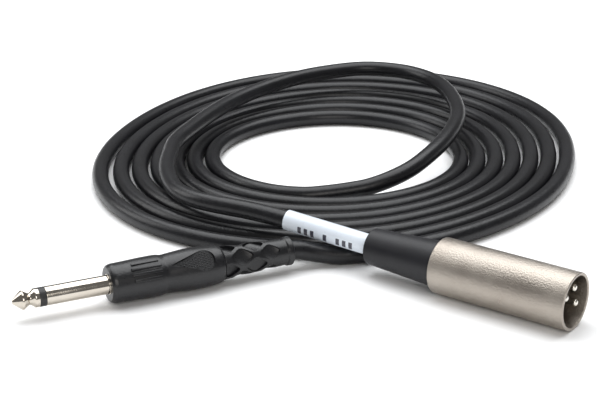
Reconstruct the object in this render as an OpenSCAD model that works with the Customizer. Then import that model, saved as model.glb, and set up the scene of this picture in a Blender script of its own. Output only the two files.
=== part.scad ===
// Audio interconnect cable: 6.35 mm two-pole jack plug to 3-pin XLR plug,
// lying wound in a flat coil of seven turns with one loose turn over the top.
// Millimetres, +Z up, floor at z = 0. The XLR plug points along +X.

/* [Cable] */
// Outer diameter of the cable jacket
cable_d = 6.5; // [5:0.1:6.5]
// Diameter of the insulated signal core inside the jacket
core_d = 2.2; // [1.6:0.1:2.6]
// Diameter of the twisted shield tail at each end
shield_d = 1.5; // [1:0.1:1.8]
// Diameter of the label sleeve on the cable
label_d = 7.2; // [7:0.1:7.4]

/* [Coil] */
// Number of turns that lie flat
turns = 7; // [3:1:7]
// Mean radius where the first turn starts
first_radius = 46.2; // [40:0.1:50]
// Growth of the mean radius in one turn
turn_pitch = 8.2; // [7:0.1:8.6]
// Oval stretch that each turn adds
oval_growth = 1.65; // [0:0.05:2]

/* [XLR plug] */
// Outside diameter of the metal shell
shell_d = 19; // [18.4:0.1:19.4]
// Length of the metal shell
shell_len = 48.8; // [47:0.1:52]
// Bore of the front cavity that the socket enters
cavity_d = 16.8; // [16.4:0.1:17]
// Depth of the front cavity
cavity_len = 12.6; // [11:0.1:13]
// Diameter of a contact pin
pin_d = 2.4; // [2.3:0.05:2.5]
// Diameter of the circle that the pins stand on
pin_circle_d = 8.4; // [8.2:0.1:8.8]
// Length of the boot behind the shell
boot_len = 27; // [25:0.1:28]
// Travel of the boot while its thread is engaged
thread_travel = 3; // [2:0.5:3]

/* [Jack plug] */
// Diameter of the barrel
barrel_d = 6.35; // [6.3:0.01:6.4]
// Length from the tip to the handle
barrel_len = 31.75; // [30.5:0.05:32]
// Length of the handle
handle_len = 39.3; // [39:0.1:40]
// Length of the strain relief behind the handle
relief_len = 25.8; // [25:0.1:27]

/* [Hidden] */

$fn = 48;
cable_r = cable_d / 2;
rest_z = cable_r;
slip = 0.03; // radial clearance of pieces that are pushed together
bite = 0.01; // overlap that lets a cut leave cleanly

// Places
coil_centre = [-28, 34];
xlr_front = [124, -51, shell_d / 2];
plug_tip_at = [-22, -151, 7.1];
plug_heading = 61.5; // from the tip to the rear, about +Z from +X

// Coil: direction of the loose side, direction of the oval, and where its ends lie
lean_dir = 126;
lean_first = -5.5;
lean_growth = 1.4;
oval_dir = 102;
seam_dir = -39;
start_turn = 0.15;
spread_dir = 5; // the turns lie further apart on this side
spread_growth = 0.7;
outer_slack = 1.2; // the far side of the last turn lies this much further out

// Loose upper turn, from inside the XLR shell to the first flat turn
lead_points = [
    [84, -51, 9.5], [64, -51, 9.5], [48, -51, 9.6], [31.5, -53.1, 11.15], [15, -55.2, 12.7],
    [0, -57, 13.2], [-14, -59, 13.1], [-24, -59, 12.9], [-34, -56, 12.8], [-44, -49, 12.8],
    [-53, -40, 13], [-61, -29, 13.2], [-69, -16, 13.5], [-74, 0, 14], [-78, 17, 14.6],
    [-81, 35, 15], [-81, 54, 15.5], [-78, 74, 16], [-72, 92, 16], [-61.5, 107.7, 16],
    [-46, 114, 16], [-30.3, 112, 16], [-17, 104, 16], [-4.5, 91.3, 16], [6.2, 76.8, 15.6],
    [12.8, 62.5, 14.8], [17, 47, 13.5], [18.8, 33, 12], [18.5, 21, 10], [15.5, 11.3, 8],
    [10.5, 3.8, 6], [4.5, -2.2, 4.8], [-2, -7.8, 3.9], [-8.5, -12.8, 3.4], [-19, -16.9, 3.25]];
// Short stretch between the strain relief and the last flat turn
tail_points = [[29, -59, 5.2], [35.5, -52.4, 3.4], [41.5, -45.5, 3.25], [47, -38.2, 3.25]];

// XLR stations, measured back from the front face
insert_front = cavity_len + 0.8;
deck_face = insert_front - 0.7;
insert_len = 13;
insert_back = insert_front + insert_len;
cup_back = insert_back + 6.5;
jacket_end = xlr_front[0] - lead_points[0][0];
rear_bore_r = 8.3;
chuck_front = 41;
chuck_r = 6.6;
seat_front = 47;
seat_len = 2.6;
bushing_front = shell_len - thread_travel - 0.3;
bushing_neck_r = 6.1;
bushing_back = shell_len + 11;
boot_back = shell_len + boot_len;
boot_bore_r = 4.9;
shank_r = 1.4;
pin_angles = [-30, 150, 60];
key_angle = -120;

// Jack plug stations, measured back from the tip
collar_back = 8.6;
ring_back = 10.8;
handle_back = barrel_len + handle_len;
relief_back = handle_back + relief_len;
rod_r = 1;
tube_r = 1.6;
neck_r = 3.4;
flange_r = 4.4;
flange_back = barrel_len + 4;
washer_len = 1.2;
plug_jacket_end = 60;
thumb_roll = 46; // how far round from straight up the thumb rest faces
lattice_roll = 55; // the same for the lattice's first row

// ---- shared shapes ----------------------------------------------------------------

module along_xlr() {
    translate(xlr_front) rotate([0, -90, 0]) children();
}

module along_plug() {
    translate(plug_tip_at) rotate([0, 0, plug_heading]) rotate([0, 90, 0]) children();
}

// Cylinder between two stations on the axis
module span(r, from, to) {
    translate([0, 0, from]) cylinder(r = r, h = to - from);
}

module ring(r_out, r_in, from, to) {
    difference() {
        span(r_out, from, to);
        span(r_in, from - 1, to + 1);
    }
}

// Bent wire through points of a plug's own frame
module wire(points, r) {
    tube(points, r, 10, [0, 1, 0]);
}

// Point on the pin circle in the XLR plug's own frame
function clock(angle, r, z) = [r * sin(angle), r * cos(angle), z];

// ---- cable route ------------------------------------------------------------------

function unit(v) = v / norm(v);

// Radius of the flat spiral after t turns; the turns run clockwise from seam_dir
function coil_angle(t) = seam_dir - 360 * t;
function coil_radius(t) = first_radius + turn_pitch * t
    + (lean_first + lean_growth * t) * cos(coil_angle(t) - lean_dir)
    + oval_growth * t * cos(2 * (coil_angle(t) - oval_dir))
    + spread_growth * t * exp(6 * (cos(coil_angle(t) - spread_dir) - 1))
    + outer_slack * exp(-pow((turns - 0.55 - t) / 0.3, 2));
function coil_point(t, out = 0) = coil_centre
    + (coil_radius(t) + out) * [cos(coil_angle(t)), sin(coil_angle(t))];

// Tube of round section swept through points, each ring square to the route there
function heading(points, i) =
    i == 0 ? unit(points[1] - points[0]) :
    i == len(points) - 1 ? unit(points[i] - points[i - 1]) :
    unit(unit(points[i] - points[i - 1]) + unit(points[i + 1] - points[i]));
function ring_points(at, dir, r, sides, level) =
    let (side = unit(cross(dir, level)), up = cross(side, dir))
    [for (k = [0 : sides - 1]) at + r * (cos(360 * k / sides) * side + sin(360 * k / sides) * up)];

module tube(points, r, sides = 12, level = [0, 0, 1]) {
    rings = len(points);
    corners = [for (i = [0 : rings - 1])
        each ring_points(points[i], heading(points, i), r, sides, level)];
    walls = [for (i = [0 : rings - 2], k = [0 : sides - 1])
        let (a = i * sides + k, b = i * sides + (k + 1) % sides)
        each [[a, b, b + sides], [a, b + sides, a + sides]]];
    first_cap = [for (k = [sides - 1 : -1 : 0]) k];
    last_cap = [for (k = [0 : sides - 1]) (rings - 1) * sides + k];
    polyhedron(points = corners, faces = concat([first_cap], walls, [last_cap]));
}

module cable_lead() {
    color("#26262a")
        tube(concat(lead_points, [concat(coil_point(start_turn), rest_z)]), cable_r);
}

module cable_coil() {
    steps = 90;
    outer = [for (i = [0 : steps]) coil_point(turns - 1 + i / steps, cable_r)];
    inner = [for (i = [0 : steps]) coil_point(start_turn + i / steps, -cable_r)];
    color("#2b2b2f")
        linear_extrude(cable_d)
            difference() {
                polygon(outer);
                polygon(inner);
            }
}

module cable_tail() {
    rear = relief_back * [cos(plug_heading), sin(plug_heading), 0] + plug_tip_at;
    inside = plug_jacket_end * [cos(plug_heading), sin(plug_heading), 0] + plug_tip_at;
    end = concat(coil_point(turns), rest_z);
    color("#26262a") tube(concat([inside, rear], tail_points, [end]), cable_r);
}

module label_sleeve() {
    from = lead_points[2];
    run = lead_points[4] - from;
    color("white")
        translate(from)
            rotate([0, acos(run[2] / norm(run)), atan2(run[1], run[0])])
                ring(label_d / 2, cable_r + slip, 1, norm(run) - 0.2);
}

// ---- XLR plug ---------------------------------------------------------------------

module xlr_shell() {
    rim = 0.5;
    rib = [1.6, 1.1];
    color("#b9b2a6")
        along_xlr() {
            difference() {
                rotate_extrude()
                    polygon([[0, 0], [shell_d / 2 - rim, 0], [shell_d / 2, rim],
                        [shell_d / 2, shell_len - rim], [shell_d / 2 - rim, shell_len],
                        [0, shell_len]]);
                span(cavity_d / 2, -1, cavity_len);
                span(cavity_d / 2 - 0.8, cavity_len - bite, insert_front + bite);
                span(rear_bore_r, insert_front, shell_len + 1);
            }
            // key rib that the socket's groove slides over
            rotate([0, 0, 90 - key_angle])
                translate([cavity_d / 2 - rib[1], -rib[0] / 2, 1.5])
                    cube([rib[1] + 0.4, rib[0], cavity_len - 1.5]);
        }
}

module xlr_insert() {
    color("#1c1c1e")
        along_xlr()
            difference() {
                union() {
                    span(rear_bore_r - slip, insert_front, insert_front + 6);
                    span(7, insert_front + 6, insert_back);
                    // shallow raised deck around the pins
                    span(7.4, deck_face, insert_front);
                }
                for (angle = pin_angles)
                    translate(clock(angle, pin_circle_d / 2, 0))
                        span(shank_r + slip, insert_front - 1, insert_back + 1);
                // cross slots between the solder cups
                for (angle = pin_angles)
                    rotate([0, 0, 90 - angle + 45])
                        translate([3, -0.4, insert_back - 3]) cube([6, 0.8, 4]);
            }
}

// Round-nosed contact with a thicker shank in the insert and a solder cup
module contact(angle) {
    nose = 0.9;
    tip = 1.2;
    r = pin_d / 2;
    collar = deck_face - 0.1;
    cup_r = 1.45;
    color("#cfcabf")
        along_xlr()
            translate(clock(angle, pin_circle_d / 2, 0))
                difference() {
                    rotate_extrude()
                        polygon(concat(
                            [[0, tip]],
                            [for (a = [15 : 15 : 90]) [r - nose + nose * sin(a), tip + nose * (1 - cos(a))]],
                            [[r, collar], [shank_r, collar], [shank_r, insert_back],
                                [cup_r, insert_back + 0.2], [cup_r, cup_back], [0, cup_back]]));
                    span(0.95, cup_back - 4.5, cup_back + 1);
                    // open side of the cup
                    rotate([0, 0, 90 - angle])
                        translate([0, -0.95, cup_back - 3.4]) cube([3, 1.9, 5]);
                }
}

module xlr_pin_1() { contact(pin_angles[0]); }
module xlr_pin_2() { contact(pin_angles[1]); }
module xlr_pin_3() { contact(pin_angles[2]); }

// Spring clip around the insert that earths the shell, with a solder tail
module xlr_ground_clip() {
    from = insert_front + 6.4;
    color("#c9b27a")
        along_xlr() {
            ring(rear_bore_r - slip, 7 + slip, from, from + 0.5);
            rotate([0, 0, 90 - pin_angles[0]])
                translate([7.2, -1.2, from + 0.2]) cube([0.5, 2.4, 10.5]);
        }
}

// Signal core from the jacket end to the cup of pin 2
module xlr_signal_wire() {
    r = pin_circle_d / 2;
    color("#b8402f")
        along_xlr()
            wire([[0, 0, jacket_end - 0.05], [0, 0, jacket_end - 1.6],
                clock(pin_angles[1], r, cup_back + 0.9)], core_d / 2 - 0.35);
}

// Shield tail from the jacket end to the cup of pin 1
module xlr_shield_wire() {
    r = pin_circle_d / 2;
    start = clock(pin_angles[0], 2.3, jacket_end - 0.05);
    color("#c98b4a")
        along_xlr()
            wire([start, clock(pin_angles[0], 2.3, jacket_end - 1.2),
                clock(pin_angles[0], r, cup_back + 0.9)], shield_d / 2);
}

// Link that joins pin 3 to pin 1, outside the signal wire
module xlr_jumper_wire() {
    r = pin_circle_d / 2;
    z = cup_back + 1.9;
    middle = (pin_angles[0] + pin_angles[2]) / 2;
    color("#c8c8c8")
        along_xlr()
            wire([clock(pin_angles[0] + 15, r + 0.9, z - 1.6), clock(pin_angles[0] + 20, r + 1.1, z),
                clock(middle, r + 1.1, z), clock(pin_angles[2], r + 0.6, z),
                clock(pin_angles[2], r + 0.2, z - 1.6)], 0.3);
}

// Solder fill in the three cups
module xlr_solder() {
    color("#d8d8dc")
        along_xlr()
            for (angle = pin_angles)
                translate(clock(angle, pin_circle_d / 2, 0)) span(0.9, cup_back - 4.4, cup_back + 0.1);
}

// Slit collet that grips the jacket when the boot is screwed home
module xlr_clamp_chuck() {
    slits = 4;
    bore_r = cable_r + 0.1;
    color("#2f3a46")
        along_xlr()
            difference() {
                rotate_extrude()
                    polygon([[bore_r, chuck_front], [chuck_r, chuck_front], [chuck_r, seat_front],
                        [5, seat_front + seat_len - 0.3], [bore_r, seat_front + seat_len - 0.3]]);
                for (i = [0 : slits - 1])
                    rotate([0, 0, 360 * i / slits + 45])
                        translate([bore_r - 1, -0.4, chuck_front + 2]) cube([6, 0.8, 12]);
            }
}

// Hard threaded bushing moulded into the front of the boot
module xlr_bushing() {
    play = 0.1;
    color("#3a3a3e")
        along_xlr()
            rotate_extrude()
                polygon([[chuck_r + play, bushing_front], [rear_bore_r - play, bushing_front],
                    [rear_bore_r - play, shell_len], [bushing_neck_r, shell_len],
                    [bushing_neck_r, bushing_back], [boot_bore_r, bushing_back],
                    [boot_bore_r, seat_front + seat_len + 0.2], [chuck_r + play, seat_front + play]]);
}

// Rubber boot, tapered, with a rounded tail
module xlr_boot() {
    front_r = 7.8;
    back_r = 6.3;
    edge = 1.2;
    gap = 0.3;
    color("#1a1a1c")
        along_xlr()
            rotate_extrude()
                polygon(concat(
                    [[bushing_neck_r, shell_len + gap], [front_r, shell_len + gap]],
                    [for (a = [0 : 15 : 90])
                        [back_r - edge + edge * cos(a), boot_back - edge + edge * sin(a)]],
                    [[boot_bore_r, boot_back], [boot_bore_r, bushing_back], [bushing_neck_r, bushing_back]]));
}

// ---- jack plug --------------------------------------------------------------------

// Tip contact: nose, neck and collar, with the centre rod that runs back through the barrel
module plug_tip() {
    r = barrel_d / 2;
    color("#c9c4ba")
        along_plug()
            rotate_extrude()
                polygon(concat(
                    [for (a = [0 : 18 : 54]) [0.9 * sin(a), 0.9 * (1 - cos(a))]],
                    [[r - 0.25, 2.9], [r, 3.3], [r - 0.1, 3.7], [2.1, 5.3], [2, 5.7], [2.15, 6.1],
                    [r - 0.15, 7.1], [r, 7.4], [r, collar_back], [rod_r, collar_back],
                    [rod_r, flange_back + 4.6], [0, flange_back + 4.6]]));
}

// Black ring between tip and barrel, moulded in one piece with the tube around the rod
module plug_ring_insulator() {
    color("#141414")
        along_plug() {
            ring(barrel_d / 2, rod_r + slip, collar_back, ring_back);
            ring(tube_r, rod_r + slip, ring_back - bite, flange_back);
        }
}

// Barrel with the stepped flange that the handle is moulded over
module plug_sleeve() {
    color("#c9c4ba")
        along_plug()
            difference() {
                union() {
                    span(barrel_d / 2, ring_back, barrel_len);
                    span(neck_r, barrel_len, barrel_len + 1.2);
                    span(flange_r, barrel_len + 1.2, barrel_len + 2.7);
                    span(3.7, barrel_len + 2.7 - bite, flange_back);
                }
                span(tube_r + slip, ring_back - 1, flange_back + 1);
            }
}

// Insulating washer behind the flange
module plug_rear_washer() {
    color("#e6e0d0")
        along_plug() ring(3.4, rod_r + slip, flange_back + 0.6, flange_back + 0.6 + washer_len);
}

// Solder lug riveted on the end of the centre rod
module plug_tip_lug() {
    from = flange_back + washer_len + 0.65;
    color("#c9b27a")
        along_plug() {
            ring(2.2, rod_r + slip, from, from + 0.5);
            translate([-2.1, -1.1, from + 0.1]) cube([0.5, 2.2, 8]);
        }
}

// Lug pressed under the flange, with a tail that is crimped around the jacket
module plug_sleeve_lug() {
    crimp_from = plug_jacket_end + 0.5;
    color("#c9b27a")
        along_plug() {
            ring(4.2, tube_r + slip, flange_back + 0.05, flange_back + 0.55);
            translate([3.55, -1.1, flange_back + 0.1]) cube([0.5, 2.2, crimp_from - flange_back + 3]);
            difference() {
                ring(4.2, cable_r + slip, crimp_from, crimp_from + 3.5);
                translate([-6, -1.2, crimp_from - 1]) cube([6, 2.4, 6]);
            }
        }
}

module plug_signal_wire() {
    color("#b8402f")
        along_plug()
            wire([[0, 0, plug_jacket_end - 0.05], [0, 0, plug_jacket_end - 4],
                [-0.6, 0, flange_back + 12]], core_d / 2 - 0.35);
}

module plug_shield_wire() {
    color("#c98b4a")
        along_plug()
            wire([[2.3, 0, plug_jacket_end - 0.05], [2.3, 0, plug_jacket_end - 3],
                [2.75, 0, plug_jacket_end - 9]], shield_d / 2);
}

// Two joints: core on the tip lug, shield on the sleeve lug's tail
module plug_solder() {
    color("#d8d8dc")
        along_plug() {
            translate([-0.72, 0, 0]) span(0.8, flange_back + 7, flange_back + 11.9);
            translate([2.7, 0, 0]) span(0.8, plug_jacket_end - 12.5, plug_jacket_end - 9.05);
        }
}

// Inner mould that locks the lugs and wires before the handle goes over
module plug_inner_mould() {
    color("#4a4a4c")
        along_plug() ring(5.2, 4.25, flange_back + 0.6, plug_jacket_end + 4.5);
}

// Half-section of the handle: two bellied lengths with a shallow waist between them
function handle_outline() = [
    [5.7, 0], [6.2, 0.4], [6.5, 1.4], [6.6, 5], [6.8, 11], [6.85, 15.5], [6.75, 17.5], [6.5, 19],
    [6.5, 20], [6.7, 22.5], [6.95, 26], [7.1, 29], [7, 32], [6.8, 35], [6.5, handle_len - 1.7],
    [6.2, handle_len - 0.5], [5.9, handle_len]];

// Outline of the thumb rest: half circle at the rear that narrows to a point in front
function teardrop(r, long) = concat(
    [for (a = [-70 : 14 : 70]) [r * sin(a), r * cos(a)]], [[0, -long]]);

module plug_handle() {
    rest_at = barrel_len + 32.5;
    color("#1d1d1f")
        along_plug()
            difference() {
                translate([0, 0, barrel_len])
                    rotate_extrude()
                        polygon(concat([[0, 0]], handle_outline(), [[0, handle_len]]));
                span(neck_r + slip, barrel_len - 1, barrel_len + 1.3);
                span(flange_r + slip, barrel_len + 1.2, barrel_len + 2.7);
                span(3.7 + slip, barrel_len + 2.6, flange_back + bite);
                span(5.2 + slip, flange_back, plug_jacket_end + 4.5);
                span(4.25 + slip, plug_jacket_end + 4, handle_back + 1);
                // thumb rest
                rotate([0, 0, 180 + thumb_roll])
                    translate([6.3, 0, rest_at])
                        rotate([90, 0, 90])
                            linear_extrude(3) polygon(teardrop(4, 11));
            }
}

// Flexible lattice sleeve with diamond windows and an end ring
module plug_strain_relief() {
    plug_in = 6.5;
    front_r = 5.7;
    back_r = 4.5;
    end_ring = 2.4;
    window = [7.6, 3.9];
    bore_r = cable_r + slip;
    rows = [[6.5, 0, 1], [11.5, 45, 0.95], [16.8, 0, 0.9]];
    color("#222225")
        along_plug()
            difference() {
                rotate_extrude()
                    polygon([[bore_r, handle_back - plug_in], [4.25, handle_back - plug_in],
                        [4.25, handle_back + 0.1], [front_r, handle_back + 0.1],
                        [back_r, relief_back - end_ring], [back_r + 0.35, relief_back - end_ring + 0.3],
                        [back_r + 0.35, relief_back - 0.4], [back_r - 0.1, relief_back],
                        [bore_r, relief_back]]);
                for (row = rows, i = [0 : 3])
                    rotate([0, 0, 90 * i + row[1] + lattice_roll])
                        translate([bore_r + 0.6, 0, handle_back + row[0]])
                            rotate([90, 0, 90])
                                linear_extrude(6)
                                    polygon(row[2] * [[-window[1] / 1.3, 0], [0, -window[0] / 2],
                                        [window[1] / 1.3, 0], [0, window[0] / 2]]);
            }
}

xlr_shell();
xlr_insert();
xlr_pin_1();
xlr_pin_2();
xlr_pin_3();
xlr_ground_clip();
xlr_clamp_chuck();
xlr_bushing();
xlr_boot();
xlr_signal_wire();
xlr_shield_wire();
xlr_jumper_wire();
xlr_solder();
label_sleeve();
cable_lead();
cable_coil();
cable_tail();
plug_tip();
plug_ring_insulator();
plug_sleeve();
plug_rear_washer();
plug_tip_lug();
plug_sleeve_lug();
plug_signal_wire();
plug_shield_wire();
plug_solder();
plug_inner_mould();
plug_handle();
plug_strain_relief();
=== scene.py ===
import math

import bmesh
import bpy
from mathutils import Matrix, Vector


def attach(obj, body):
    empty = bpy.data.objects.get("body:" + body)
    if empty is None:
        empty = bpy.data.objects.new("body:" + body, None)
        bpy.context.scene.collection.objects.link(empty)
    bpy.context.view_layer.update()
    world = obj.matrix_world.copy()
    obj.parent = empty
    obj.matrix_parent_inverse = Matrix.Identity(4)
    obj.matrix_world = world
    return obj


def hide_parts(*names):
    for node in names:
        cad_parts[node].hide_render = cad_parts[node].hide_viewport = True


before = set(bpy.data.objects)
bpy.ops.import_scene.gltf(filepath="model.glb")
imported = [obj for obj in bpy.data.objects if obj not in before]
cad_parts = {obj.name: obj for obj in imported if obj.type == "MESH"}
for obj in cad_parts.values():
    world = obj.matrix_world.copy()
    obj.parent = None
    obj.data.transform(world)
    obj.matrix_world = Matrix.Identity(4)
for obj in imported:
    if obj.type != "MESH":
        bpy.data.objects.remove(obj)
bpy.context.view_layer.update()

MM = 0.001

# ---- places in metres, the same as the CAD model's ----------------------------------
CABLE_D = 6.5 * MM
REST_Z = CABLE_D / 2
COIL_CENTRE = Vector((-0.028, 0.034, 0))
XLR_FRONT = Vector((0.124, -0.051, 0.0095))
PLUG_TIP = Vector((-0.022, -0.151, 0.0071))

# ---- sizes in millimetres, directions in degrees ------------------------------------
PLUG_HEADING = 61.5
# Flat coil: how its radius grows, where it leans and widens, and where the turns spread
TURNS = 7
START_TURN = 0.15
POINTS_PER_TURN = 28
SEAM_DIR = -39
FIRST_RADIUS, TURN_PITCH = 46.2, 8.2
LEAN_DIR, LEAN_FIRST, LEAN_GROWTH = 126, -5.5, 1.4
OVAL_DIR, OVAL_GROWTH = 102, 1.65
SPREAD_DIR, SPREAD_GROWTH, SPREAD_FOCUS = 5, 0.7, 6
OUTER_SLACK, SLACK_BACK, SLACK_WIDTH = 1.2, 0.55, 0.3

SHELL_R, SHELL_LEN = 9.5, 48.8
CAVITY_R, CAVITY_LEN = 8.4, 12.6
KEY_ANGLE = 210
BOOT_BACK = SHELL_LEN + 27
BARREL_R, BARREL_LEN = 3.175, 31.75
HANDLE_BACK = BARREL_LEN + 39.3
RELIEF_BACK = HANDLE_BACK + 25.8
PIN_ANGLES = (-30, 150, 60)
PIN_CIRCLE_R = 4.2
THUMB_ROLL = 46
THUMB_AT, EMBLEM_AT = BARREL_LEN + 32, BARREL_LEN + 12
LATTICE_ROLL = 55

# Cable outside the flat coil: from the XLR plug to the first turn, and on to the jack plug
lead_route = [
    (84, -51, 9.5), (64, -51, 9.5), (48, -51, 9.6), (31.5, -53.1, 11.15), (15, -55.2, 12.7),
    (0, -57, 13.2), (-14, -59, 13.1), (-24, -59, 12.9), (-34, -56, 12.8), (-44, -49, 12.8),
    (-53, -40, 13), (-61, -29, 13.2), (-69, -16, 13.5), (-74, 0, 14), (-78, 17, 14.6),
    (-81, 35, 15), (-81, 54, 15.5), (-78, 74, 16), (-72, 92, 16), (-61.5, 107.7, 16),
    (-46, 114, 16), (-30.3, 112, 16), (-17, 104, 16), (-4.5, 91.3, 16), (6.2, 76.8, 15.6),
    (12.8, 62.5, 14.8), (17, 47, 13.5), (18.8, 33, 12), (18.5, 21, 10), (15.5, 11.3, 8),
    (10.5, 3.8, 6), (4.5, -2.2, 4.8), (-2, -7.8, 3.9), (-8.5, -12.8, 3.4), (-19, -16.9, 3.25)]
tail_route = [(47, -38.2, 3.25), (41.5, -45.5, 3.25), (35.5, -52.4, 3.4), (29, -59, 5.2)]


# ---- camera -------------------------------------------------------------------------
camera_data = bpy.data.cameras.new("camera")
camera_data.lens = 90
camera_data.sensor_width = 36
camera = bpy.data.objects.new("camera", camera_data)
camera.location = COIL_CENTRE + Vector((0.3316, -0.4785, 0.208))
camera.rotation_euler = (math.radians(90 - 21.2), 0, math.radians(36))
bpy.context.collection.objects.link(camera)
bpy.context.scene.camera = camera


# ---- materials ----------------------------------------------------------------------
class Nodes:
    """A material's node tree, with short calls for the nodes used here."""

    def __init__(self, name, colour, roughness, metallic=0.0, specular=0.5):
        self.material = bpy.data.materials.new(name)
        self.material.use_nodes = True
        self.tree = self.material.node_tree
        self.bsdf = self.tree.nodes["Principled BSDF"]
        self.bsdf.inputs["Base Color"].default_value = (*colour, 1)
        self.bsdf.inputs["Roughness"].default_value = roughness
        self.bsdf.inputs["Metallic"].default_value = metallic
        self.bsdf.inputs["Specular IOR Level"].default_value = specular
        self.position = self.add("ShaderNodeTexCoord").outputs["Object"]

    def add(self, kind, **inputs):
        node = self.tree.nodes.new(kind)
        for key, value in inputs.items():
            self.feed(node.inputs[key], value)
        return node

    def feed(self, socket, value):
        if isinstance(value, bpy.types.NodeSocket):
            self.tree.links.new(value, socket)
        else:
            socket.default_value = value

    def noise(self, scale, detail=3.0, roughness=0.5):
        node = self.add("ShaderNodeTexNoise", Scale=scale, Detail=detail, Roughness=roughness)
        self.feed(node.inputs["Vector"], self.position)
        return node.outputs["Fac"]

    def spread(self, value, low, high):
        """A noise value, mostly between 0.3 and 0.7, mapped onto low to high."""
        node = self.add("ShaderNodeMapRange")
        for key, x in zip(("Value", "From Min", "From Max", "To Min", "To Max"),
                          (value, 0.3, 0.7, low, high)):
            self.feed(node.inputs[key], x)
        return node.outputs["Result"]

    def mix(self, factor, a, b):
        node = self.add("ShaderNodeMix")
        node.data_type = "RGBA"
        self.feed(node.inputs["Factor"], factor)
        for socket, colour in zip([s for s in node.inputs if s.type == "RGBA"], (a, b)):
            self.feed(socket, colour if isinstance(colour, bpy.types.NodeSocket) else (*colour, 1))
        return [s for s in node.outputs if s.type == "RGBA"][0]

    def math(self, operation, *values):
        node = self.add("ShaderNodeMath")
        node.operation = operation
        for socket, value in zip(node.inputs, values):
            self.feed(socket, value)
        return node.outputs["Value"]

    def bump(self, height, distance, strength=1.0):
        node = self.add("ShaderNodeBump", Height=height, Distance=distance, Strength=strength)
        return node.outputs["Normal"]

    def set(self, name, value):
        self.feed(self.bsdf.inputs[name], value)


def moulded(name, dark, light, rough, grain=0.00035, depth=0.00004, specular=0.5):
    """Plastic or rubber: faint cloudiness, and fine grain (width and depth in metres)."""
    m = Nodes(name, dark, rough, specular=specular)
    cloud = m.noise(90, 4)
    fine = m.noise(1 / grain, 2)
    m.set("Base Color", m.mix(m.spread(cloud, 0, 1), dark, light))
    m.set("Roughness", m.spread(fine, rough - 0.06, rough + 0.08))
    m.set("Normal", m.bump(fine, depth))
    return m.material


def metal(name, dark, light, rough, grain=0.0004, depth=0.00002):
    """Plated metal: blasted or polished grain, and a slight tarnish."""
    m = Nodes(name, dark, rough, metallic=1.0)
    fine = m.noise(1 / grain, 3, 0.6)
    cloud = m.noise(70, 5, 0.6)
    m.set("Base Color", m.mix(m.spread(cloud, 0, 1), dark, light))
    m.set("Roughness", m.spread(cloud, rough - 0.05, rough + 0.07))
    m.set("Normal", m.bump(fine, depth, 0.6))
    return m.material


jacket = moulded("cable_jacket", (0.004, 0.004, 0.005), (0.008, 0.008, 0.010), 0.33,
                 grain=0.0006, depth=0.00003, specular=0.38)
boot_rubber = moulded("boot_rubber", (0.006, 0.006, 0.008), (0.010, 0.010, 0.013), 0.40,
                      depth=0.00004, specular=0.35)
handle_plastic = moulded("handle_plastic", (0.004, 0.004, 0.005), (0.008, 0.008, 0.010), 0.33,
                         grain=0.0006, depth=0.00004)
relief_rubber = moulded("relief_rubber", (0.005, 0.005, 0.006), (0.009, 0.009, 0.011), 0.32,
                        depth=0.00001)
# painted shade: a near-black, matte, barely reflective material for the tube that stands in for the shade
# inside the strain relief's windows
painted_shade_black = moulded("painted_shade_black", (0.001, 0.001, 0.001), (0.003, 0.003, 0.003), 0.8,
                        specular=0.1)
black_nylon = moulded("black_nylon", (0.010, 0.010, 0.011), (0.016, 0.016, 0.017), 0.42)
chuck_plastic = moulded("chuck_plastic", (0.06, 0.08, 0.11), (0.08, 0.10, 0.13), 0.45)
inner_plastic = moulded("inner_plastic", (0.10, 0.10, 0.10), (0.14, 0.14, 0.14), 0.5)
core_insulation = moulded("core_insulation", (0.35, 0.03, 0.02), (0.42, 0.05, 0.03), 0.4)
fibre_washer = moulded("fibre_washer", (0.55, 0.50, 0.40), (0.65, 0.60, 0.50), 0.7)
shell_nickel = metal("satin_nickel", (0.35, 0.31, 0.27), (0.43, 0.39, 0.345), 0.32,
                     grain=0.0005, depth=0.00034)
plug_nickel = metal("contact_nickel", (0.54, 0.49, 0.42), (0.62, 0.575, 0.51), 0.10, depth=0.000004)
contact_silver = metal("contact_silver", (0.72, 0.69, 0.62), (0.80, 0.77, 0.71), 0.2, depth=0.000004)
spring_brass = metal("spring_brass", (0.66, 0.50, 0.25), (0.75, 0.60, 0.34), 0.3)
copper = metal("copper_braid", (0.66, 0.34, 0.18), (0.74, 0.42, 0.24), 0.35)
tinned = metal("tinned_wire", (0.62, 0.62, 0.62), (0.72, 0.72, 0.72), 0.3)
solder = metal("solder", (0.58, 0.58, 0.60), (0.68, 0.68, 0.70), 0.34)


def label_material():
    """Glossy white sleeve with a generic mark: a row of plain blocks in three groups."""
    m = Nodes("white_label", (0.84, 0.87, 0.93), 0.28)
    uv = m.add("ShaderNodeUVMap").outputs["UV"]
    split = m.add("ShaderNodeSeparateXYZ", Vector=uv)
    along, around = split.outputs["X"], split.outputs["Y"]

    def window(value, low, high):
        return m.math("MULTIPLY", m.math("GREATER_THAN", value, low), m.math("LESS_THAN", value, high))

    blocks = m.math("LESS_THAN", m.math("FRACT", m.math("MULTIPLY", along, 13.0)), 0.55)
    groups = m.math("ADD", window(along, 0.15, 0.36), window(along, 0.46, 0.52))
    groups = m.math("ADD", groups, window(along, 0.61, 0.82))
    ink = m.math("MULTIPLY", m.math("MULTIPLY", blocks, groups), window(around, 0.40, 0.52))
    cloud = m.spread(m.noise(60, 4), 0, 1)
    paper = m.mix(cloud, (0.70, 0.76, 0.84), (0.76, 0.82, 0.89))
    m.set("Base Color", m.mix(ink, paper, (0.05, 0.05, 0.07)))
    m.set("Roughness", m.spread(m.noise(900, 2), 0.26, 0.36))
    m.set("Normal", m.bump(m.noise(400, 3), 0.00003))
    m.set("Coat Weight", 0.25)
    return m.material


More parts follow.
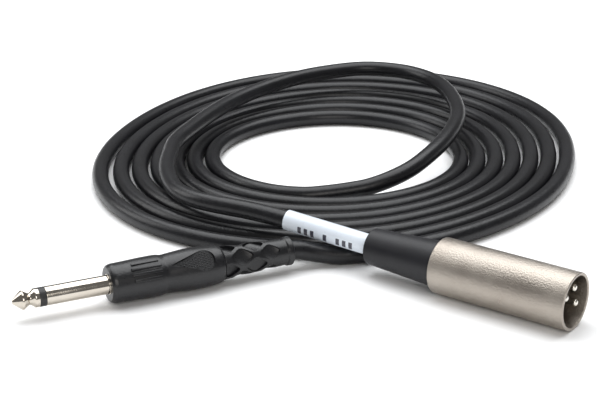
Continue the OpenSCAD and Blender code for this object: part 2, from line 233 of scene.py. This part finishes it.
# ---- mesh helpers -------------------------------------------------------------------
def link(name, mesh, material, replaces=(), body="cable", angle=35):
    """A finished piece: smooth shaded with crisp edges, riding on its body."""
    obj = bpy.data.objects.new(name, mesh)
    bpy.context.collection.objects.link(obj)
    mesh.materials.clear()
    mesh.materials.append(material)
    mesh.shade_smooth()
    mesh.set_sharp_from_angle(angle=math.radians(angle))
    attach(obj, body)
    if replaces:
        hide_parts(*replaces)


# Axis frames: local Z runs back along each plug from its front or tip
XLR_AXES = Matrix.Translation(XLR_FRONT) @ Matrix.Rotation(math.radians(-90), 4, "Y")
PLUG_AXES = (Matrix.Translation(PLUG_TIP) @ Matrix.Rotation(math.radians(PLUG_HEADING), 4, "Z")
             @ Matrix.Rotation(math.radians(90), 4, "Y"))


def rounded(outline, fillet, steps=5):
    """outline, a list of (radius, station) in millimetres, with its corners rounded off."""
    points = [Vector(p) for p in outline]
    out = [points[0]]
    for before, at, after in zip(points, points[1:], points[2:]):
        a, b = before - at, after - at
        bend = a.angle(b)
        if bend > math.radians(172) or not a.length or not b.length:
            out.append(at)
            continue
        r = min(fillet, 0.45 * a.length, 0.45 * b.length)
        start, end = at + a.normalized() * r, at + b.normalized() * r
        for i in range(steps + 1):
            t = i / steps
            out.append((1 - t) ** 2 * start + 2 * t * (1 - t) * at + t ** 2 * end)
    out.append(points[-1])
    return out


def smooth_curve(points, steps):
    """Catmull-Rom curve through the points, with so many steps between each two."""
    p = [Vector(q) for q in points]
    p = [2 * p[0] - p[1]] + p + [2 * p[-1] - p[-2]]
    out = []
    for a, b, c, d in zip(p, p[1:], p[2:], p[3:]):
        for i in range(steps):
            t = i / steps
            out.append(0.5 * (2 * b + (c - a) * t + (2 * a - 5 * b + 4 * c - d) * t ** 2
                              + (3 * b - a - 3 * c + d) * t ** 3))
    out.append(p[-2])
    return out


def lathe(outline, axes, sides=128, offset=(0, 0)):
    """Revolves (radius, station) millimetres about an axis and returns the mesh."""
    bm = bmesh.new()
    rings = []
    for r, z in outline:
        if r < 1e-4:
            rings.append([bm.verts.new((offset[0], offset[1], z))])
            continue
        rings.append([bm.verts.new((offset[0] + r * math.cos(2 * math.pi * i / sides),
                                    offset[1] + r * math.sin(2 * math.pi * i / sides), z))
                      for i in range(sides)])
    for a, b in zip(rings, rings[1:]):
        if len(a) == 1 and len(b) == 1:
            continue
        for i in range(sides):
            j = (i + 1) % sides
            quad = [a[i % len(a)], a[j % len(a)], b[j % len(b)], b[i % len(b)]]
            bm.faces.new(list(dict.fromkeys(quad)))
    bmesh.ops.recalc_face_normals(bm, faces=bm.faces)
    mesh = bpy.data.meshes.new("lathe")
    bm.to_mesh(mesh)
    bm.free()
    mesh.transform(axes @ Matrix.Scale(MM, 4))
    return mesh


def prism(points, low, high, bevel=0.0):
    """Closed solid over a flat outline, from low to high, in a new bmesh."""
    bm = bmesh.new()
    bottom = [bm.verts.new((x, y, low)) for x, y in points]
    top = [bm.verts.new((x, y, high)) for x, y in points]
    bm.faces.new(bottom[::-1])
    bm.faces.new(top)
    n = len(points)
    for i in range(n):
        bm.faces.new((bottom[i], bottom[(i + 1) % n], top[(i + 1) % n], top[i]))
    if bevel:
        bmesh.ops.bevel(bm, geom=bm.edges[:], offset=bevel, segments=3, affect="EDGES", profile=0.5)
    bmesh.ops.recalc_face_normals(bm, faces=bm.faces)
    return bm


def gather(parts, axes):
    """One mesh of several (bmesh, matrix) pairs, in millimetres of a plug's own frame."""
    whole = bmesh.new()
    for bm, place in parts:
        bm.transform(place)
        piece = bpy.data.meshes.new("piece")
        bm.to_mesh(piece)
        bm.free()
        whole.from_mesh(piece)
        bpy.data.meshes.remove(piece)
    mesh = bpy.data.meshes.new("gathered")
    whole.to_mesh(mesh)
    whole.free()
    mesh.transform(axes @ Matrix.Scale(MM, 4))
    return mesh


def baked(obj):
    """A new mesh of obj as its modifiers leave it."""
    return bpy.data.meshes.new_from_object(obj.evaluated_get(bpy.context.evaluated_depsgraph_get()))


def cut(mesh, cutter):
    """mesh with cutter taken away, as a new mesh."""
    body = bpy.data.objects.new("body", mesh)
    tool = bpy.data.objects.new("tool", cutter)
    for obj in (body, tool):
        bpy.context.collection.objects.link(obj)
    mod = body.modifiers.new("cut", "BOOLEAN")
    mod.operation = "DIFFERENCE"
    mod.solver = "EXACT"
    mod.object = tool
    result = baked(body)
    for obj in (body, tool):
        bpy.data.objects.remove(obj)
    return result


def soften(mesh, width):
    """mesh with its sharp edges rounded off, width in millimetres."""
    obj = bpy.data.objects.new("soften", mesh)
    bpy.context.collection.objects.link(obj)
    mod = obj.modifiers.new("edges", "BEVEL")
    mod.width = width * MM
    mod.segments = 2
    mod.limit_method = "ANGLE"
    mod.angle_limit = math.radians(40)
    result = baked(obj)
    bpy.data.objects.remove(obj)
    return result


def on_side(angle, radius, station):
    """Places a flat outline on the outside of a plug: x round it, y along it, z outward."""
    return (Matrix.Rotation(math.radians(angle), 4, "Z") @ Matrix.Translation((radius, 0, station))
            @ Matrix.Rotation(math.radians(90), 4, "Y") @ Matrix.Rotation(math.radians(90), 4, "Z"))


def clock(angle, r):
    """Where a point at this angle and radius lies on a plug's face."""
    return r * math.sin(math.radians(angle)), r * math.cos(math.radians(angle))


def circle(r, x=0, y=0, sides=48):
    return [(x + r * math.cos(2 * math.pi * i / sides), y + r * math.sin(2 * math.pi * i / sides))
            for i in range(sides)]


# ---- cable --------------------------------------------------------------------------
def coil_point(t):
    """Centreline of the flat coil after t turns."""
    a = SEAM_DIR - 360 * t
    r = (FIRST_RADIUS + TURN_PITCH * t
         + (LEAN_GROWTH * t + LEAN_FIRST) * math.cos(math.radians(a - LEAN_DIR))
         + OVAL_GROWTH * t * math.cos(math.radians(2 * (a - OVAL_DIR)))
         + SPREAD_GROWTH * t * math.exp(SPREAD_FOCUS * (math.cos(math.radians(a - SPREAD_DIR)) - 1))
         + OUTER_SLACK * math.exp(-((TURNS - SLACK_BACK - t) / SLACK_WIDTH) ** 2))
    a = math.radians(a)
    return COIL_CENTRE + Vector((r * math.cos(a), r * math.sin(a), 0)) * MM + Vector((0, 0, REST_Z))


plug_dir = Vector((math.cos(math.radians(PLUG_HEADING)), math.sin(math.radians(PLUG_HEADING)), 0))
coil_steps = int((TURNS - START_TURN) * POINTS_PER_TURN)
route = [Vector(p) * MM for p in lead_route]
route += [coil_point(START_TURN + i / POINTS_PER_TURN) for i in range(coil_steps + 1)]
route.append(coil_point(TURNS))
route += [Vector(p) * MM for p in tail_route]
route += [PLUG_TIP + plug_dir * s * MM for s in (RELIEF_BACK, 80, 60)]


centreline = smooth_curve(route, 5)
cable_curve = bpy.data.curves.new("cable", "CURVE")
cable_curve.dimensions = "3D"
cable_curve.bevel_depth = CABLE_D / 2
cable_curve.bevel_resolution = 8
cable_curve.use_fill_caps = True
spline = cable_curve.splines.new("POLY")
spline.points.add(len(centreline) - 1)
for point, place in zip(spline.points, centreline):
    point.co = (*place, 1)
spline.use_smooth = True
cable_curve.materials.append(jacket)
cable = bpy.data.objects.new("cable", cable_curve)
bpy.context.collection.objects.link(cable)
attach(cable, "cable")
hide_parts("cable_lead", "cable_coil", "cable_tail")


# ---- label sleeve -------------------------------------------------------------------
def label_sleeve():
    start, run = route[2], route[4] - route[2]
    length = run.length / MM
    axes = Matrix.Translation(start) @ run.to_track_quat("Z", "Y").to_matrix().to_4x4()
    outline = rounded([(3.28, 1), (3.6, 1), (3.6, length - 0.2), (3.28, length - 0.2), (3.28, 1)], 0.12)
    mesh = lathe(outline, Matrix.Identity(4), 96)
    layer = mesh.uv_layers.new(name="UVMap")
    for loop in mesh.loops:
        v = mesh.vertices[loop.vertex_index].co / MM
        turn = math.atan2(v.y, v.x) / (2 * math.pi) + 0.5
        layer.data[loop.index].uv = ((v.z - 1) / (length - 1.2), turn)
    mesh.transform(axes)
    link("label", mesh, label_material(), replaces=("label_sleeve",))


label_sleeve()


# ---- XLR plug -----------------------------------------------------------------------
def xlr_shell():
    outline = rounded([(CAVITY_R, CAVITY_LEN), (CAVITY_R, 0), (SHELL_R, 0), (SHELL_R, SHELL_LEN),
                       (8.3, SHELL_LEN), (8.3, 13.4), (7.6, 13.4), (7.6, CAVITY_LEN),
                       (CAVITY_R, CAVITY_LEN)], 0.45)
    mesh = lathe(outline, XLR_AXES, 160)
    link("shell", mesh, shell_nickel, replaces=("xlr_shell",))
    rib = prism([(-0.8, 0), (0.8, 0), (0.8, 11.1), (-0.8, 11.1)], 0, 1.2, 0.3)
    place = on_side(KEY_ANGLE, 7.4, 1.5)
    link("shell_key", gather([(rib, place)], XLR_AXES), shell_nickel)


def xlr_insert():
    outline = rounded([(0, 12.7), (7.4, 12.7), (7.4, 13.4), (8.27, 13.4), (8.27, 19.4), (7, 19.4),
                       (7, 26.4), (0, 26.4)], 0.3)
    mesh = lathe(outline, XLR_AXES, 128)
    holes = []
    for angle in PIN_ANGLES:
        holes.append((prism(circle(1.43, *clock(angle, PIN_CIRCLE_R)), 12, 27), Matrix.Identity(4)))
    # shallow moulded sink in the middle
    holes.append((prism(circle(1.3), 12, 12.95), Matrix.Identity(4)))
    link("insert", cut(mesh, gather(holes, XLR_AXES)), black_nylon,
         replaces=("xlr_insert",))


def contact(number, angle):
    """A round contact with a rounded nose and a hollow solder cup at its rear."""
    nose = [(0.3 + 0.9 * math.sin(math.radians(a)), 1.2 + 0.9 * (1 - math.cos(math.radians(a))))
            for a in range(0, 91, 9)]
    outline = [(0, 1.2)] + nose + [(1.2, 12.6), (1.4, 12.6), (1.4, 26.4), (1.45, 26.6), (1.45, 32.9),
                                   (1.0, 32.9), (0.95, 28.4), (0, 28.4)]
    mesh = lathe(outline, XLR_AXES, 48, clock(angle, PIN_CIRCLE_R))
    link("contact_%d" % number, mesh, contact_silver,
         replaces=("xlr_pin_%d" % number,))


def xlr_boot():
    outline = [(4.9, BOOT_BACK - 0.6), (4.9, SHELL_LEN + 11), (6.1, SHELL_LEN + 11), (6.1, SHELL_LEN + 0.3),
               (7.8, SHELL_LEN + 0.3), (7.72, SHELL_LEN + 2), (6.34, BOOT_BACK - 1.0), (6.3, BOOT_BACK),
               (4.9, BOOT_BACK), (4.9, BOOT_BACK - 0.6)]
    mesh = lathe(rounded(outline, 1.1, 8), XLR_AXES, 128)
    link("boot", mesh, boot_rubber, replaces=("xlr_boot",), body="boot")


xlr_shell()
xlr_insert()
for number, angle in enumerate(PIN_ANGLES, 1):
    contact(number, angle)
xlr_boot()


# ---- jack plug ----------------------------------------------------------------------
def plug_tip():
    nose = [(0, 0), (0.55, 0.12), (0.95, 0.5), (2.95, 2.85), (3.13, 3.1), (BARREL_R, 3.35), (3.1, 3.65),
            (2.2, 5.1), (2.02, 5.5), (2.06, 5.95), (2.5, 6.55), (3.05, 7.1), (BARREL_R, 7.45)]
    outline = smooth_curve(nose, 4) + rounded([(BARREL_R, 7.5), (BARREL_R, 8.6), (1, 8.6)], 0.12)
    outline += [Vector((1, 40)), Vector((0, 40))]
    link("tip", lathe(outline, PLUG_AXES), plug_nickel,
         replaces=("plug_tip",), angle=50)


def plug_ring():
    outline = rounded([(1.03, 8.6), (3.16, 8.6), (3.16, 10.8), (1.6, 10.8), (1.6, 35.7), (1.03, 35.7),
                       (1.03, 8.6)], 0.06)
    link("ring", lathe(outline, PLUG_AXES), black_nylon,
         replaces=("plug_ring_insulator",))


def plug_barrel():
    outline = rounded([(1.63, 11.5), (1.63, 10.8), (BARREL_R, 10.8), (BARREL_R, BARREL_LEN),
                       (3.4, BARREL_LEN), (3.4, 32.95), (4.4, 32.95), (4.4, 34.45), (3.7, 34.45),
                       (3.7, 35.75), (1.63, 35.75), (1.63, 11.5)], 0.15)
    link("barrel", lathe(outline, PLUG_AXES), plug_nickel,
         replaces=("plug_sleeve",))


def half_section():
    """Outside of the handle from its front to its back, as (radius, distance from the front)."""
    front = rounded([(4.6, 0), (5.7, 0.0), (6.3, 0.7), (6.55, 1.7), (6.6, 5)], 0.3)
    belly = smooth_curve([(6.6, 5), (6.8, 11), (6.85, 15), (6.78, 17.2), (6.5, 18.6), (6.46, 19.6),
                          (6.7, 22.5), (6.95, 26), (7.08, 29), (7.0, 32), (6.8, 35), (6.55, 37.4)], 6)
    back = rounded([(6.53, 37.6), (6.25, 38.8), (5.9, 39.3), (4.3, 39.3)], 0.35)
    return [Vector((3.43, 1.2)), Vector((3.43, 0))] + front + belly[1:] + back


def teardrop(r, long, steps=16):
    """Half circle at the rear that narrows to a soft point in front."""
    return ([(r * math.cos(math.radians(a)), r * math.sin(math.radians(a)))
             for a in range(-20, 201, 220 // steps)]
            + [(-r * 0.62, -long * 0.42), (-r * 0.1, -long), (r * 0.1, -long), (r * 0.62, -long * 0.42)])


def plug_handle():
    outline = [(r, z + BARREL_LEN) for r, z in half_section()]
    outline += [(4.28, HANDLE_BACK), (4.28, HANDLE_BACK - 8.4), (5.23, HANDLE_BACK - 8.45),
                (5.23, BARREL_LEN + 4.55), (3.73, BARREL_LEN + 4.55), (3.73, BARREL_LEN + 2.7),
                (4.43, BARREL_LEN + 2.7), (4.43, BARREL_LEN + 1.2), (3.43, BARREL_LEN + 1.2)]
    mesh = lathe(outline, PLUG_AXES, 192)
    cutters = []
    for side in (180 + THUMB_ROLL, THUMB_ROLL):
        cutters.append((prism(teardrop(3.7, 11), 0, 4), on_side(side, 5.95, THUMB_AT)))
    mesh = cut(mesh, gather(cutters, PLUG_AXES))
    link("handle", mesh, handle_plastic, replaces=("plug_handle",), angle=30)


def handle_details():
    """Raised dots in the thumb rests, and plain raised bars on the front part."""
    pitch, rest_r = 0.9, 3.2
    parts = []
    for side in (180 + THUMB_ROLL, THUMB_ROLL):
        for row in range(-10, 4):
            y = row * pitch
            half = rest_r * (1 + y / 10.5) if y < 0 else math.sqrt(max(0.0, rest_r ** 2 - y ** 2))
            n = int(half / pitch)
            for k in range(-n, n + 1):
                dot = bmesh.new()
                bmesh.ops.create_icosphere(dot, subdivisions=2, radius=0.28)
                shift = Matrix.Translation((k * pitch + (row % 2) * pitch / 2 - 0.22, y, 0))
                parts.append((dot, on_side(side, 5.97, THUMB_AT) @ shift
                              @ Matrix.Diagonal((1, 1, 0.6, 1))))
        for k in (-1.5, -0.5, 0.5, 1.5):
            long = 5.4 - 0.5 * abs(k)
            bar = prism([(-0.5, -long), (0.5, -long), (0.5, long), (-0.5, long)], -0.8, 0.45, 0.16)
            parts.append((bar, on_side(side + 17 * k, 6.74, EMBLEM_AT)))
    link("grip_marks", gather(parts, PLUG_AXES), handle_plastic)


def rounded_diamond(wide, long, corner=0.28):
    tips = [(-wide, 0), (0, -long), (wide, 0), (0, long)]
    out = []
    for i in range(4):
        p, q, s = (Vector(tips[(i + k) % 4]) for k in (-1, 0, 1))
        for t in (0, 0.33, 0.67, 1):
            a, b = q + (p - q) * corner, q + (s - q) * corner
            out.append((1 - t) ** 2 * a + 2 * t * (1 - t) * q + t * t * b)
    return [(v.x, v.y) for v in out]


def strain_relief():
    """Tapered rubber sleeve with a lattice of windows, and a near-black tube round the cable inside it:
    painted shade that shows through the windows.
    """
    front, back = HANDLE_BACK, RELIEF_BACK
    outline = rounded([(3.28, front - 6.5), (4.24, front - 6.5), (4.24, front + 0.1),
                       (5.75, front + 0.1), (5.6, front + 2), (4.55, back - 2.4), (4.95, back - 2.1),
                       (4.95, back - 0.3), (4.4, back), (3.28, back), (3.28, front - 6.5)], 0.25)
    fine = []
    for a, b in zip(outline, outline[1:]):
        steps = max(1, int((b - a).length / 0.8))
        fine += [a + (b - a) * i / steps for i in range(steps)]
    mesh = lathe(fine + [outline[-1]], PLUG_AXES, 128)

    windows = []
    for station, turn, size in ((1.5, 45, 0.9), (6.5, 0, 1.0), (11.5, 45, 0.95), (16.8, 0, 0.9)):
        for i in range(4):
            outline = rounded_diamond(3.45 * size, 4.7 * size)
            outline = [(x, max(y, 0.25 - station)) for x, y in outline]
            place = on_side(90 * i + turn + LATTICE_ROLL, 3.9, front + station)
            windows.append((prism(outline, 0, 5), place))
    mesh = soften(cut(mesh, gather(windows, PLUG_AXES)), 0.18)
    # painted shade: a thin near-black tube round the cable, so the relief's windows show dark
    shade_tube_outline = rounded([(3.27, back - 1), (3.27, front - 6), (3.36, front - 6), (3.36, back - 1),
                      (3.27, back - 1)], 0.03)
    link("painted_shade_tube", lathe(shade_tube_outline, PLUG_AXES, 96), painted_shade_black)
    link("relief", mesh, relief_rubber, replaces=("plug_strain_relief",),
         angle=30)


plug_tip()
plug_ring()
plug_barrel()
plug_handle()
handle_details()
strain_relief()

# CAD nodes that stay, inside the two plugs
for names, material in (
        (("xlr_ground_clip", "plug_tip_lug", "plug_sleeve_lug"), spring_brass),
        (("xlr_clamp_chuck",), chuck_plastic),
        (("xlr_bushing",), black_nylon),
        (("xlr_signal_wire", "plug_signal_wire"), core_insulation),
        (("xlr_shield_wire", "plug_shield_wire"), copper),
        (("xlr_jumper_wire",), tinned),
        (("xlr_solder", "plug_solder"), solder),
        (("plug_rear_washer",), fibre_washer),
        (("plug_inner_mould",), inner_plastic)):
    for name in names:
        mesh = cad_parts[name].data
        mesh.materials.clear()
        mesh.materials.append(material)


# ---- floor and light ----------------------------------------------------------------
def floor():
    bm = bmesh.new()
    bmesh.ops.create_grid(bm, x_segments=8, y_segments=8, size=6)
    mesh = bpy.data.meshes.new("floor")
    bm.to_mesh(mesh)
    bm.free()
    m = Nodes("floor", (0.9, 0.9, 0.9), 0.85, specular=0.1)
    m.set("Base Color", m.mix(m.spread(m.noise(3), 0, 1), (0.965, 0.965, 0.965), (0.98, 0.98, 0.98)))
    mesh.materials.append(m.material)
    obj = bpy.data.objects.new("floor", mesh)
    bpy.context.collection.objects.link(obj)


def area(name, place, size, power, colour=(1, 1, 1)):
    """A soft rectangular light, facing the middle of the part."""
    data = bpy.data.lights.new(name, "AREA")
    data.shape = "RECTANGLE"
    data.size, data.size_y = size
    data.energy = power
    data.color = colour
    obj = bpy.data.objects.new(name, data)
    obj.location = place
    obj.rotation_euler = (-Vector(place)).to_track_quat("-Z", "Y").to_euler()
    bpy.context.collection.objects.link(obj)


floor()
area("overhead", (-0.16, 0.24, 1.0), (1.5, 1.2), 20, (0.97, 0.985, 1))
area("front", (0.75, -0.8, 0.55), (0.7, 0.5), 3.5, (1, 0.97, 0.93))
area("left", (-0.9, -0.35, 0.5), (0.5, 0.6), 3)

world = bpy.data.worlds.new("studio")
bpy.context.scene.world = world
world.use_nodes = True
world.node_tree.nodes["Background"].inputs["Color"].default_value = (1, 1, 1, 1)
world.node_tree.nodes["Background"].inputs["Strength"].default_value = 0.2
bpy.context.scene.view_settings.view_transform = "Standard"
